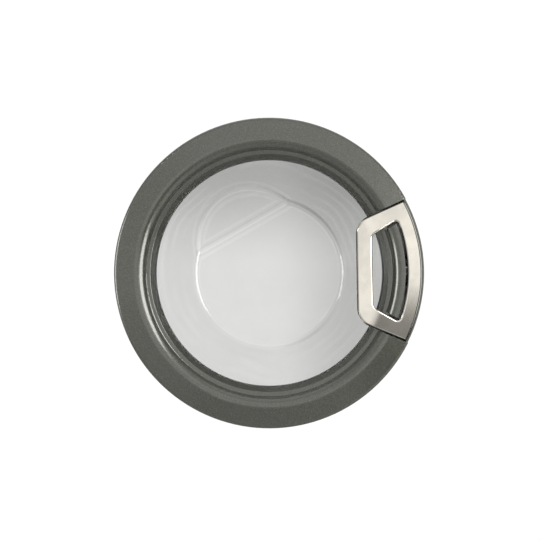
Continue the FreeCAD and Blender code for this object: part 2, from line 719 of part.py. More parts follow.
def handle_grip():
    """Silver loop: flush with the band at the rim, crowned towards the bar, with an open middle."""
    wrap_inner = HANDLE_OUTER_RADIUS - GRIP_WRAP_WALL
    wrap_depth = GRIP_BACK - GRIP_WRAP_DROP
    crest_radius = HANDLE_BAR_X + GRIP_CREST_REACH
    crest_depth = band_depth(crest_radius)
    fall_radius = HANDLE_BAR_X - GRIP_FALL_REACH
    corners = [
        (fall_radius, GRIP_BACK, 0),
        (wrap_inner, GRIP_BACK, 0),
        (wrap_inner, wrap_depth, 0),
        (RING_RADIUS, wrap_depth, 0),
        (RING_RADIUS, band_depth(RING_RADIUS), 0),
        (crest_radius, crest_depth, GRIP_CREST_ROUND),
        (fall_radius, crest_depth - GRIP_FALL_DROP, 0),
    ]
    loop = trimmed_prism(handle_outline(0), HANDLE_OUTER_RADIUS, HANDLE_TIP_ROUND)
    grip = turned(corners).common(loop).removeSplitter()
    grip = grip.makeFillet(GRIP_EDGE_ROUND, boundary_edges(grip, GRIP_BACK + 1))
    opening = trimmed_prism(opening_outline(0), OPENING_RADIUS, OPENING_TIP_ROUND)
    grip = grip.cut(opening)
    rims = [edge for edge in boundary_edges(grip, GRIP_BACK + 1) if opening.distToShape(edge)[0] < PART_GAP]
    grip = grip.makeFillet(OPENING_EDGE_ROUND, rims)
    pilot = SCREW_SHANK + SCREW_GAP
    holes = []
    for x, z in handle_screw_places():
        holes.append(forward(pilot, x, z, 0, GRIP_BACK - LEVER_PLATE + LEVER_WELL + HANDLE_SCREW_LENGTH))
    return grip.cut(holes)


def lever_plate():
    """Dark plate that closes the back of the loop, inset from its edges."""
    loop = prism(handle_outline(-LEVER_INSET), GRIP_BACK - LEVER_PLATE, GRIP_BACK)
    disc = tube(0, HANDLE_OUTER_RADIUS - GRIP_WRAP_WALL - PART_GAP, 0, FRONT_LIMIT)
    opening = prism(opening_outline(-LEVER_INSET), 0, FRONT_LIMIT)
    opening = opening.common(tube(0, OPENING_RADIUS + LEVER_INSET / 2, 0, FRONT_LIMIT))
    return loop.common(disc).cut(opening)


def lever_ear(sign):
    z_low = min(sign * EAR_INNER_Z, sign * (EAR_INNER_Z + EAR_WALL))
    eye = upright(EAR_RADIUS, HANDLE_PIN_X, HANDLE_PIN_DEPTH, z_low, z_low + EAR_WALL)
    web = block(HANDLE_PIN_X - EAR_RADIUS, HANDLE_PIN_X + EAR_RADIUS, HANDLE_PIN_DEPTH,
                GRIP_BACK - LEVER_PLATE / 2, z_low, z_low + EAR_WALL)
    return eye.fuse(web)


def stirrup():
    """Two legs and a cross bar that reach under the hook's cam arm, outside the hook's pin."""
    leg_x = (HANDLE_PIN_X - STIRRUP_LEG_OFFSET - STIRRUP_WALL, HANDLE_PIN_X - STIRRUP_LEG_OFFSET)
    bar_x = (HANDLE_PIN_X - STIRRUP_BAR_OFFSET - STIRRUP_WALL, HANDLE_PIN_X - STIRRUP_BAR_OFFSET)
    bar_top = CAM_UNDER_DEPTH - STIRRUP_GAP
    bar_depths = (bar_top - STIRRUP_BAR_WALL, bar_top)
    inner_z = hook_span() + 2 * CLIP_THICKNESS + STIRRUP_END_GAP
    outer_z = inner_z + STIRRUP_WALL
    parts = [block(*bar_x, *bar_depths, -outer_z, outer_z)]
    for z_low in (inner_z, -outer_z):
        z_high = z_low + STIRRUP_WALL
        parts.append(block(*leg_x, bar_depths[0], GRIP_BACK - LEVER_PLATE / 2, z_low, z_high))
        parts.append(block(bar_x[0], leg_x[1], *bar_depths, z_low, z_high))
    return parts


def handle_back():
    lever = joined([lever_plate(), lever_ear(1), lever_ear(-1)] + stirrup())
    ear_end = EAR_INNER_Z + EAR_WALL + 1
    cuts = [upright(HANDLE_PIN_RADIUS + PIN_GAP, HANDLE_PIN_X, HANDLE_PIN_DEPTH, -ear_end, ear_end)]
    back = GRIP_BACK - LEVER_PLATE
    for x, z in handle_screw_places():
        cuts.append(forward(SCREW_SHANK + SCREW_GAP, x, z, 0, FRONT_LIMIT))
        cuts.append(forward(SCREW_HEAD_RADIUS + WELL_GAP, x, z, 0, back + LEVER_WELL))
    return lever.cut(cuts).removeSplitter()


def handle_screws():
    seat = GRIP_BACK - LEVER_PLATE + LEVER_WELL
    return Part.makeCompound([screw(x, z, seat, HANDLE_SCREW_LENGTH) for x, z in handle_screw_places()])


def latch_hook():
    """Hook on its own pin: a cam arm inwards, and an arm rearwards with a nose that points outwards."""
    half = HOOK_WIDTH / 2
    eye = upright(HOOK_EYE_RADIUS, HOOK_PIN_X, HOOK_PIN_DEPTH, SIDE_GAP - hook_post_z(), half)
    cam = block(HOOK_PIN_X - CAM_REACH, HOOK_PIN_X, CAM_UNDER_DEPTH, CAM_UNDER_DEPTH + CAM_WALL, -half, half)
    arm_x = (HOOK_PIN_X - HOOK_ARM_HALF, HOOK_PIN_X + HOOK_ARM_HALF)
    arm = block(*arm_x, -HOOK_REACH, HOOK_PIN_DEPTH, -half, half)
    nose_corners = [
        (HOOK_PIN_X, -HOOK_REACH, 0),
        (HOOK_PIN_X + HOOK_ARM_HALF, -HOOK_REACH, 0),
        (HOOK_PIN_X + HOOK_NOSE, HOOK_TIP / 2 - HOOK_REACH, 0),
        (HOOK_PIN_X + HOOK_NOSE, HOOK_TIP - HOOK_REACH, 0),
        (HOOK_PIN_X, HOOK_TIP - HOOK_REACH, 0),
    ]
    nose = Part.Face(rounded_wire(nose_corners, profile_point)).extrude(Vector(0, 0, HOOK_WIDTH))
    nose.translate(Vector(0, 0, -half))
    bore = upright(HOOK_PIN_RADIUS + PIN_GAP, HOOK_PIN_X, HOOK_PIN_DEPTH, -hook_post_z(), half + 1)
    return joined([eye, cam, arm, nose]).cut(bore)


def torsion_spring(pin_radius, wire, turns, x, depth, z_low, leg_ends):
    """Close-wound coil round a pin, with two straight legs that end at the given depths."""
    inner = pin_radius + SPRING_COIL_GAP
    outer = inner + wire * (1 - SPRING_SCALLOP)
    length = wire * turns
    edges = [Part.makeLine(Vector(outer, 0, 0), Vector(inner, 0, 0))]
    edges.append(Part.makeLine(Vector(inner, 0, 0), Vector(inner, 0, length)))
    edges.append(Part.makeLine(Vector(inner, 0, length), Vector(outer, 0, length)))
    for index in range(turns):
        low = index * wire
        crest = Vector(inner + wire, 0, low + wire / 2)
        edges.append(Part.makeLine(Vector(outer, 0, low), crest))
        edges.append(Part.makeLine(crest, Vector(outer, 0, low + wire)))
    face = Part.Face(Part.Wire(Part.__sortEdges__(edges)))
    coil = face.revolve(Vector(0, 0, 0), UP, 360)
    coil.translate(Vector(x, -depth, z_low))
    legs = []
    for z, side, leg_end in ((z_low + wire / 2, -1, leg_ends[0]), (z_low + length - wire / 2, 1, leg_ends[1])):
        start = Vector(x + side * (inner + wire / 2), -depth, z)
        reach = depth - leg_end
        legs.append(Part.makeCylinder(wire / 2, abs(reach), start, Vector(0, math.copysign(1, reach), 0)))
    return coil.fuse(legs)


def handle_spring():
    ends = (GRIP_BACK - LEVER_PLATE, FRAME_PLATE)
    z_low = EAR_INNER_Z - SIDE_GAP - HANDLE_SPRING_WIRE * HANDLE_SPRING_TURNS
    return torsion_spring(HANDLE_PIN_RADIUS, HANDLE_SPRING_WIRE, HANDLE_SPRING_TURNS, HANDLE_PIN_X,
                          HANDLE_PIN_DEPTH, z_low, ends)


def hook_spring():
    ends = (CAM_UNDER_DEPTH + CAM_WALL, FRAME_PLATE)
    return torsion_spring(HOOK_PIN_RADIUS, HOOK_SPRING_WIRE, HOOK_SPRING_TURNS, HOOK_PIN_X,
                          HOOK_PIN_DEPTH, HOOK_WIDTH / 2 + SIDE_GAP, ends)


NODES = {
    "outer_ring": outer_ring(),
    "inner_frame": inner_frame(),
    "glass_bowl": glass_bowl(),
    "frame_screws": frame_screws(),
    "hinge_bracket": hinge_bracket(),
    "hinge_bush_upper": bush(1),
    "hinge_bush_lower": bush(-1),
    "hinge_leaf": hinge_leaf(),
    "hinge_leaf_screws": hinge_leaf_screws(),
    "hinge_pin": headed_pin(HINGE_PIN_RADIUS, HINGE_X, HINGE_DEPTH, hinge_span()),
    "hinge_pin_clip": pin_clip(HINGE_PIN_RADIUS, HINGE_X, HINGE_DEPTH, hinge_span()),
    "handle_grip": handle_grip(),
    "handle_back": handle_back(),
    "handle_screws": handle_screws(),
    "handle_pin": headed_pin(HANDLE_PIN_RADIUS, HANDLE_PIN_X, HANDLE_PIN_DEPTH, handle_span()),
    "handle_pin_clip": pin_clip(HANDLE_PIN_RADIUS, HANDLE_PIN_X, HANDLE_PIN_DEPTH, handle_span()),
    "handle_spring": handle_spring(),
    "latch_hook": latch_hook(),
    "hook_pin": headed_pin(HOOK_PIN_RADIUS, HOOK_PIN_X, HOOK_PIN_DEPTH, hook_span()),
    "hook_pin_clip": pin_clip(HOOK_PIN_RADIUS, HOOK_PIN_X, HOOK_PIN_DEPTH, hook_span()),
    "hook_spring": hook_spring(),
}

os.makedirs("parts", exist_ok=True)
for name, shape in NODES.items():
    shape.translate(-ORIGIN)
    shape.exportStep(f"parts/{name}.step")
    box = shape.BoundBox
    print(f"{name}: {len(shape.Solids)} solids, valid {shape.isValid()}, {shape.Volume / 1000:.1f} cm3,"
          f" x {box.XMin:.1f} {box.XMax:.1f} y {box.YMin:.1f} {box.YMax:.1f} z {box.ZMin:.1f} {box.ZMax:.1f}")
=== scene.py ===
# %% [markdown]
# # Dressing a washing machine door
# The door's solids arrive from the CAD model already at their real size and place. This lesson gives them
# their finishes, adds the small fittings that only a mesh shows well, and lights them as a plain studio shot.
# We begin by loading the solids.

# %% Load the solids
import math

import bpy
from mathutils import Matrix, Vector


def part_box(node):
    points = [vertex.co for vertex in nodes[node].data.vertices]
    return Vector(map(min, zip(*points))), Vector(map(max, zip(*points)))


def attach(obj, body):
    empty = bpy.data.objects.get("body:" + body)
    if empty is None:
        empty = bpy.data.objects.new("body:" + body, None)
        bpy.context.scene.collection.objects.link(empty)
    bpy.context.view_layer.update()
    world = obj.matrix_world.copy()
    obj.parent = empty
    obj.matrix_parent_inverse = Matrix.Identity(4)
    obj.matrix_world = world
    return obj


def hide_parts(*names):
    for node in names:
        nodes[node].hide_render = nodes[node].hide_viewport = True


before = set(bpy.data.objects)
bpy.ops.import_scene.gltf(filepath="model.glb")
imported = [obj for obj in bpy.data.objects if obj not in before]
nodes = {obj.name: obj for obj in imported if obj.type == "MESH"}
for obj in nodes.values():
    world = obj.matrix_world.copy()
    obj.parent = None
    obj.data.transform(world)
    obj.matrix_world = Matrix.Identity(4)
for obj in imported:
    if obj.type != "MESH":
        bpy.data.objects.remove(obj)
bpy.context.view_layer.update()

print("solids:", ", ".join(sorted(nodes)))

# %% [markdown]
# Places in the scene are counted from the solids. The ring's box gives the door's centre, its radius and its
# front. The handle's and the bowl's boxes are read further on, where the masks on them need them.

# %% Measure the door
ring_low, ring_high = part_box("outer_ring")
door_x = (ring_low[0] + ring_high[0]) / 2
door_z = (ring_low[2] + ring_high[2]) / 2
door_radius = (ring_high[2] - ring_low[2]) / 2
door_front = ring_low[1]
print(f"door centre x {door_x:.4f} z {door_z:.4f}, radius {door_radius:.4f}, front y {door_front:.4f}")

# %% [markdown]
# Shader node groups are the finishes' building blocks: each is wired once, then placed in several materials
# with its own values. A few short helpers do the wiring: most add one kind of node and hand back its output, and
# the last makes an empty group with named sockets.

# %% Helpers for shader nodes
def add_node(tree, kind, **values):
    node = tree.nodes.new(kind)
    for name, value in values.items():
        setattr(node, name, value)
    return node


def set_input(tree, node, name, value):
    """Link a socket to a node's input, or set a plain value there."""
    if isinstance(value, bpy.types.NodeSocket):
        tree.links.new(value, node.inputs[name])
    else:
        node.inputs[name].default_value = value


def add_ramp(tree, value, start, stop, low, high, shape="SMOOTHSTEP"):
    """Change from low to high while the value goes from start to stop."""
    ramp = add_node(tree, "ShaderNodeMapRange", interpolation_type=shape)
    ramp.inputs["From Min"].default_value = start
    ramp.inputs["From Max"].default_value = stop
    ramp.inputs["To Min"].default_value = low
    ramp.inputs["To Max"].default_value = high
    tree.links.new(value, ramp.inputs["Value"])
    return ramp.outputs["Result"]


def add_noise(tree, place, scale, detail):
    noise = add_node(tree, "ShaderNodeTexNoise")
    tree.links.new(place, noise.inputs["Vector"])
    set_input(tree, noise, "Scale", scale)
    noise.inputs["Detail"].default_value = detail
    return noise.outputs["Fac"]


def add_mix(tree, factor, first, second, blend="MIX"):
    """Blend of two colours, each a socket or a plain value."""
    mix = add_node(tree, "ShaderNodeMix", data_type="RGBA", blend_type=blend)
    for name, value in (("Factor", factor), ("A", first), ("B", second)):
        set_input(tree, mix, name, value)
    return mix.outputs["Result"]


def add_math(tree, operation, first, second):
    node = add_node(tree, "ShaderNodeMath", operation=operation)
    tree.links.new(first, node.inputs[0])
    tree.links.new(second, node.inputs[1])
    return node.outputs[0]


def add_chain(tree, operation, *values):
    """All the values taken together, one after the other."""
    result = values[0]
    for value in values[1:]:
        result = add_math(tree, operation, result, value)
    return result


def add_vector(tree, operation, vector, constant=(0, 0, 0)):
    node = add_node(tree, "ShaderNodeVectorMath", operation=operation)
    tree.links.new(vector, node.inputs[0])
    node.inputs[1].default_value = constant
    return node.outputs["Value" if operation in ("LENGTH", "DOT_PRODUCT") else "Vector"]


def split_vector(tree, vector):
    axes = add_node(tree, "ShaderNodeSeparateXYZ")
    tree.links.new(vector, axes.inputs["Vector"])
    return axes.outputs["X"], axes.outputs["Y"], axes.outputs["Z"]


def new_group(name, inputs, outputs):
    group = bpy.data.node_groups.new(name, "ShaderNodeTree")
    for socket, kind, default in inputs:
        made = group.interface.new_socket(name=socket, in_out="INPUT", socket_type=kind)
        made.default_value = default
    for socket, kind in outputs:
        group.interface.new_socket(name=socket, in_out="OUTPUT", socket_type=kind)
    return group, add_node(group, "NodeGroupInput"), add_node(group, "NodeGroupOutput")


# %% [markdown]
# Metallic paint holds tiny flakes that catch the light one by one. A fine Voronoi pattern gives every flake
# its own cell, and each cell's random colour decides how much lighter than the paint it is, if at all.
# A slow noise stands for the uneven spray. Painting flakes as geometry would be far too heavy.

# %% Group: paint flakes
def make_flake_group():
    group, source, sink = new_group(
        "Paint flakes",
        [("Paint", "NodeSocketColor", (0.1, 0.1, 0.1, 1)), ("Flake", "NodeSocketColor", (0.3, 0.3, 0.3, 1)),
         ("Scale", "NodeSocketFloat", 2600.0), ("Amount", "NodeSocketFloat", 0.5)],
        [("Color", "NodeSocketColor"), ("Roughness", "NodeSocketFloat"), ("Height", "NodeSocketFloat")])
    links = group.links
    place = add_node(group, "ShaderNodeTexCoord").outputs["Object"]
    cells = add_node(group, "ShaderNodeTexVoronoi", feature="F1")
    links.new(place, cells.inputs["Vector"])
    links.new(source.outputs["Scale"], cells.inputs["Scale"])
    parts = add_node(group, "ShaderNodeSeparateColor")
    links.new(cells.outputs["Color"], parts.inputs["Color"])
    bright = add_ramp(group, parts.outputs["Red"], 0.55, 1.0, 0.0, 1.0, "LINEAR")
    amount = add_math(group, "MULTIPLY", bright, source.outputs["Amount"])
    spray = add_noise(group, place, scale=38.0, detail=3.0)
    links.new(add_mix(group, amount, source.outputs["Paint"], source.outputs["Flake"]), sink.inputs["Color"])
    links.new(add_ramp(group, spray, 0.0, 1.0, 0.3, 0.42, "LINEAR"), sink.inputs["Roughness"])
    links.new(parts.outputs["Green"], sink.inputs["Height"])
    return group


flake_group = make_flake_group()
print("group:", flake_group.name)

# %% [markdown]
# Moulded plastic is never quite smooth: the mould's fine texture and slow flow marks vary both its height and
# its colour. One group serves the rear frame, the black lever and the nylon bushes, each with its own scale.
# How a pattern sways colour and gloss is the same for plastic and metal, so that part is a function of its own.

# %% Group: moulded texture
def add_sway(group, source, sink, pattern, amount, colour):
    """Let a pattern sway a colour and the gloss about their own values, by as much as amount says."""
    links = group.links
    centred = add_node(group, "ShaderNodeMath", operation="SUBTRACT")
    centred.inputs[1].default_value = 0.5
    links.new(pattern, centred.inputs[0])
    sway = add_math(group, "MULTIPLY", centred.outputs[0], source.outputs[amount])
    value = add_node(group, "ShaderNodeMath", operation="ADD")
    value.inputs[1].default_value = 1.0
    links.new(sway, value.inputs[0])
    tint = add_node(group, "ShaderNodeHueSaturation")
    links.new(value.outputs[0], tint.inputs["Value"])
    links.new(source.outputs[colour], tint.inputs["Color"])
    links.new(tint.outputs["Color"], sink.inputs["Color"])
    links.new(add_math(group, "ADD", sway, source.outputs["Gloss"]), sink.inputs["Roughness"])


def make_mould_group():
    group, source, sink = new_group(
        "Moulded texture",
        [("Plastic", "NodeSocketColor", (0.4, 0.4, 0.4, 1)), ("Grain scale", "NodeSocketFloat", 900.0),
         ("Variation", "NodeSocketFloat", 0.08), ("Gloss", "NodeSocketFloat", 0.45)],
        [("Color", "NodeSocketColor"), ("Roughness", "NodeSocketFloat"), ("Height", "NodeSocketFloat")])
    place = add_node(group, "ShaderNodeTexCoord").outputs["Object"]
    grain = add_noise(group, place, scale=source.outputs["Grain scale"], detail=2.0)
    flow = add_noise(group, place, scale=14.0, detail=4.0)
    add_sway(group, source, sink, flow, "Variation", "Plastic")
    group.links.new(grain, sink.inputs["Height"])
    return group


mould_group = make_mould_group()
print("group:", mould_group.name)

# %% [markdown]
# Brushed and plated metal shows fine parallel scratches. A noise stretched along one direction draws them: the
# Stretch vector squeezes the pattern across the brushing, and the lines feed colour, roughness and height.

# %% Group: brushed lines
def make_brushed_group():
    group, source, sink = new_group(
        "Brushed lines",
        [("Metal", "NodeSocketColor", (0.6, 0.6, 0.6, 1)), ("Stretch", "NodeSocketVector", (900.0, 900.0, 20.0)),
         ("Contrast", "NodeSocketFloat", 0.12), ("Gloss", "NodeSocketFloat", 0.3)],
        [("Color", "NodeSocketColor"), ("Roughness", "NodeSocketFloat"), ("Height", "NodeSocketFloat")])
    place = add_node(group, "ShaderNodeTexCoord")
    squeeze = add_node(group, "ShaderNodeVectorMath", operation="MULTIPLY")
    group.links.new(place.outputs["Object"], squeeze.inputs[0])
    group.links.new(source.outputs["Stretch"], squeeze.inputs[1])
    lines = add_noise(group, squeeze.outputs["Vector"], scale=1.0, detail=3.0)
    add_sway(group, source, sink, lines, "Contrast", "Metal")
    group.links.new(lines, sink.inputs["Height"])
    return group


brushed_group = make_brushed_group()
print("group:", brushed_group.name)

# %% [markdown]
# A finish is one material: a Principled shader fed by one of the groups, with a Bump node for its height. The
# values that are the same all over, such as metallic or coat, are set on the shader's own sockets.

# %% Helpers: a finish from a group
def new_material(name):
    material = bpy.data.materials.new(name)
    material.use_nodes = True
    return material, material.node_tree, material.node_tree.nodes["Principled BSDF"]


def add_relief(tree, shader, height, strength, distance):
    relief = add_node(tree, "ShaderNodeBump")
    relief.inputs["Strength"].default_value = strength
    relief.inputs["Distance"].default_value = distance
    tree.links.new(height, relief.inputs["Height"])
    tree.links.new(relief.outputs["Normal"], shader.inputs["Normal"])


def make_finish(name, group, values, bump, **sockets):
    """Material from a group's values, the bump's strength and distance, and values of the shader's own."""
    material, tree, shader = new_material(name)
    texture = add_node(tree, "ShaderNodeGroup", node_tree=group)
    for socket, value in values.items():
        texture.inputs[socket].default_value = value
    tree.links.new(texture.outputs["Color"], shader.inputs["Base Color"])
    tree.links.new(texture.outputs["Roughness"], shader.inputs["Roughness"])
    strength, distance = bump
    add_relief(tree, shader, texture.outputs["Height"], strength, distance)
    for socket, value in sockets.items():
        shader.inputs[socket.replace("_", " ")].default_value = value
    return material


# %% [markdown]
# The bezel is plastic with a graphite metallic paint: dark, warm grey, with a fine sparkle and a thin clear
# lacquer. A part-metallic base keeps the paint's own colour while its flakes still mirror the softboxes.

# %% Finish: graphite paint
graphite = make_finish(
    "graphite_paint", flake_group,
    {"Paint": (0.064, 0.065, 0.050, 1), "Flake": (0.26, 0.26, 0.22, 1), "Scale": 1500.0, "Amount": 0.35},
    (0.06, 0.0002), Metallic=0.8, Coat_Weight=1.0, Coat_IOR=1.8, Coat_Roughness=0.14)
print("finish:", graphite.name)

# %% [markdown]
# The loop handle is satin silver: bright and slightly warm, with a grain so fine that it only softens the
# reflections. The grain runs up and down the bar, as the polishing did. Hands leave soft clouds on it, and a dark
# line of painted shade runs along its edges. Both are masks over the silver.

# %% Mask: the handle's painted edge shade
grip_low, grip_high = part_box("handle_grip")
bar_x = grip_low[0] - door_x
rim_radius = grip_high[0] - door_x
bar_width = 0.0238
rim_width = 0.0232
arm_slope = math.radians(23.3)
arm_tip = (0.2037, 0.1058)
rim_line, bar_line, arm_line = 0.0039, 0.002, 0.0024
opening_bar_line, opening_rim_line = 0.0013, 0.0016
opening_bar_end = (0.046, 0.054)
opening_rim_end = (0.062, 0.07)
past_handle = 0.01
past_opening = 0.001
line_blur = 0.0004
# Painted shade: the dark tone laid along the handle's edges.
painted_edge_shade_tone = (0.09, 0.09, 0.08, 1)


def add_band(tree, value, start, stop):
    """One between start and stop, with soft ends."""
    rise = add_ramp(tree, value, start - line_blur, start, 0.0, 1.0)
    return add_math(tree, "MULTIPLY", rise, add_ramp(tree, value, stop, stop + line_blur, 1.0, 0.0))


def add_edge_shade_mask(tree, place):
    """One where painted shade goes: on the handle's rim, along its bar and arms, and on two sides of its opening.
    """
    centred = add_vector(tree, "SUBTRACT", place, (door_x, 0, door_z))
    aside = add_vector(tree, "ABSOLUTE", add_vector(tree, "MULTIPLY", centred, (1, 0, 1)))
    x, _, z = split_vector(tree, aside)
    radius = add_vector(tree, "LENGTH", aside)
    across_arm = add_vector(tree, "DOT_PRODUCT", aside, (-math.sin(arm_slope), 0, math.cos(arm_slope)))
    arm_edge = arm_tip[1] * math.cos(arm_slope) - arm_tip[0] * math.sin(arm_slope)
    opening_x = bar_x + bar_width
    opening_radius = rim_radius - rim_width
    rim = add_band(tree, radius, rim_radius - rim_line, rim_radius + past_handle)
    bar = add_band(tree, x, bar_x - past_handle, bar_x + bar_line)
    arm = add_band(tree, across_arm, arm_edge - arm_line, arm_edge + past_handle)
    bar_side = add_band(tree, x, opening_x - opening_bar_line, opening_x + past_opening)
    bar_side = add_math(tree, "MULTIPLY", bar_side, add_ramp(tree, z, *opening_bar_end, 1.0, 0.0))
    rim_side = add_band(tree, radius, opening_radius - past_opening, opening_radius + opening_rim_line)
    rim_side = add_math(tree, "MULTIPLY", rim_side, add_ramp(tree, z, *opening_rim_end, 1.0, 0.0))
    return add_chain(tree, "MAXIMUM", rim, bar, arm, bar_side, rim_side)


print("handle reaches from x", round(grip_low[0], 4), "to", round(grip_high[0], 4))

# %% [markdown]
# The finish itself starts from the brushed group, like the other metals. Its colour is then taken off the shader's
# socket, shaded a little by the clouds, swapped for a dark painted shade where the edge mask is, and put back.

# %% Finish: satin silver
silver = make_finish(
    "satin_silver", brushed_group,
    {"Metal": (0.82, 0.775, 0.69, 1), "Stretch": (1400.0, 1400.0, 60.0), "Contrast": 0.05, "Gloss": 0.16},
    (0.04, 0.0002), Metallic=1.0)


def add_handle_wear(material):
    tree = material.node_tree
    base = tree.nodes["Principled BSDF"].inputs["Base Color"]
    polished = base.links[0].from_socket
    place = add_node(tree, "ShaderNodeTexCoord").outputs["Object"]
    clouds = add_noise(tree, place, scale=38.0, detail=4.0)
    clouds = add_ramp(tree, clouds, 0.35, 0.65, 0.92, 1.02)
    smudged = add_mix(tree, 1.0, polished, clouds, "MULTIPLY")
    # The edge mask lays painted shade over the silver.
    tree.links.new(add_mix(tree, add_edge_shade_mask(tree, place), smudged, painted_edge_shade_tone), base)


add_handle_wear(silver)
print("finish:", silver.name)

# %% [markdown]
# The other finishes are quieter: light grey moulded plastic for the rear frame, black for the lever behind the
# handle, natural nylon for the bushes, zinc plate for hinge, pins, hook and screws, and darker drawn wire for the
# springs and clips.

# %% Finishes: plastics and plated steel
grey_plastic = make_finish(
    "grey_plastic", mould_group,
    {"Plastic": (0.40, 0.40, 0.39, 1), "Grain scale": 1100.0, "Variation": 0.10, "Gloss": 0.48}, (0.25, 0.0004))
black_plastic = make_finish(
    "black_plastic", mould_group,
    {"Plastic": (0.022, 0.022, 0.022, 1), "Grain scale": 1500.0, "Variation": 0.20, "Gloss": 0.5}, (0.25, 0.0003))
nylon = make_finish(
    "natural_nylon", mould_group,
    {"Plastic": (0.72, 0.70, 0.64, 1), "Grain scale": 2000.0, "Variation": 0.06, "Gloss": 0.4}, (0.1, 0.0002))
zinc = make_finish(
    "zinc_plate", brushed_group,
    {"Metal": (0.56, 0.56, 0.54, 1), "Stretch": (300.0, 300.0, 90.0), "Contrast": 0.22, "Gloss": 0.32},
    (0.08, 0.0002), Metallic=1.0)
wire = make_finish(
    "spring_wire", brushed_group,
    {"Metal": (0.30, 0.30, 0.31, 1), "Stretch": (1800.0, 1800.0, 1800.0), "Contrast": 0.18, "Gloss": 0.3},
    (0.05, 0.0001), Metallic=1.0)
print("finishes:", grey_plastic.name, black_plastic.name, nylon.name, zinc.name, wire.name)

# %% [markdown]
# The bowl's floor, wall and slanted flat meet in rounded edges, which gather light; a painted highlight stands in
# for it, strongest on the upper edges. A mask finds them: it works out how far a point lies from each of the three
# surfaces, and where two of them are near, that is an edge.

# %% Mask: painted highlights on the bowl's edges
_, bowl_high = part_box("glass_bowl")
bowl_wall = 0.005
bowl_depth = 0.082
bowl_floor_y = bowl_high[1] - bowl_wall
bowl_floor_radius = 0.115
bowl_mouth_radius = 0.174
flat_offset = 0.083
flat_rise = 1.68
flat_turn = math.radians(119)
flat_lean = math.atan(flat_rise)
wall_lean = math.atan((bowl_mouth_radius - bowl_floor_radius) / bowl_depth)
edge_start = (-0.0026, -0.0012)
edge_end = (-0.0002, 0.0012)


def add_edge_highlight_mask(tree, place):
    """Painted highlight: highest along the bowl's rounded edges, most of all the upper, inner ones, and nought
    elsewhere.
    """
    aside, up = math.cos(flat_turn), math.sin(flat_turn)
    from_floor = add_vector(tree, "SUBTRACT", place, (door_x, bowl_floor_y, door_z))
    _, floor_gap, z = split_vector(tree, from_floor)
    radius = add_vector(tree, "LENGTH", add_vector(tree, "MULTIPLY", from_floor, (1, 0, 1)))
    profile = add_node(tree, "ShaderNodeCombineXYZ")
    tree.links.new(radius, profile.inputs["X"])
    tree.links.new(floor_gap, profile.inputs["Y"])
    profile.inputs["Z"].default_value = 1.0
    wall_gap = add_vector(tree, "DOT_PRODUCT", profile.outputs["Vector"], (
        math.cos(wall_lean), math.sin(wall_lean), -bowl_floor_radius * math.cos(wall_lean)))
    from_flat = add_vector(tree, "SUBTRACT", from_floor, (flat_offset * aside, 0, flat_offset * up))
    flat_gap = add_vector(tree, "DOT_PRODUCT", from_flat, (
        math.cos(flat_lean) * aside, math.sin(flat_lean), math.cos(flat_lean) * up))
    near = add_math(tree, "MINIMUM", floor_gap, wall_gap)
    far = add_math(tree, "MAXIMUM", floor_gap, wall_gap)
    middle = add_math(tree, "MAXIMUM", near, add_math(tree, "MINIMUM", far, flat_gap))
    rise = add_ramp(tree, middle, *edge_start, 0.0, 1.0)
    fall = add_ramp(tree, middle, *edge_end, 1.0, 0.0)
    upper = add_ramp(tree, z, -0.06, 0.03, 0.2, 0.75)
    inner = add_ramp(tree, add_math(tree, "MAXIMUM", far, flat_gap), 0.001, 0.003, 1.0, 0.4)
    return add_chain(tree, "MULTIPLY", rise, fall, upper, inner)


print("bowl floor at y", round(bowl_floor_y, 4))

# %% [markdown]
# The bowl is pressed glass. Its surface is a little wavy from the press, so a slow noise bends the normals by a
# hair, and a trace of dust and water marks dulls it here and there. Transmission and metallic stay plain values.
# Faint light arcs are also drawn, mostly in the upper wall: rings that a noise bends out of true.

# %% Finish: pressed glass
# The glass's grey tone is painted shade: it darkens all that shows through the bowl, the marked tone as well.
shaded_glass_tone = (0.715, 0.72, 0.705, 1)
marked_shaded_glass_tone = (0.67, 0.675, 0.66, 1)
swirl_tone = (0.82, 0.825, 0.81, 1)
# Painted highlight tone for the bowl's rounded edges.
painted_highlight_tone = (0.98, 0.985, 0.97, 1)
swirl_waves = {"Scale": 26.0, "Distortion": 9.0, "Detail": 1.0, "Detail Scale": 0.3}


def add_swirls(tree, place):
    """Up to 0.5 along the faint arcs in the glass."""
    centred = add_vector(tree, "SUBTRACT", place, (door_x, 0, door_z))
    rings = add_node(tree, "ShaderNodeTexWave", wave_type="RINGS", rings_direction="Y")
    for socket, value in swirl_waves.items():
        rings.inputs[socket].default_value = value
    tree.links.new(centred, rings.inputs["Vector"])
    _, _, z = split_vector(tree, centred)
    radius = add_vector(tree, "LENGTH", add_vector(tree, "MULTIPLY", centred, (1, 0, 1)))
    arcs = add_ramp(tree, rings.outputs["Fac"], 0.6, 1.0, 0.0, 0.5)
    off_floor = add_ramp(tree, radius, 0.118, 0.132, 0.0, 1.0)
    patches = add_noise(tree, place, scale=11.0, detail=2.0)
    patches = add_ramp(tree, patches, 0.38, 0.58, 0.0, 1.0)
    upper = add_ramp(tree, z, -0.06, 0.08, 0.35, 1.0)
    return add_chain(tree, "MULTIPLY", arcs, off_floor, patches, upper)


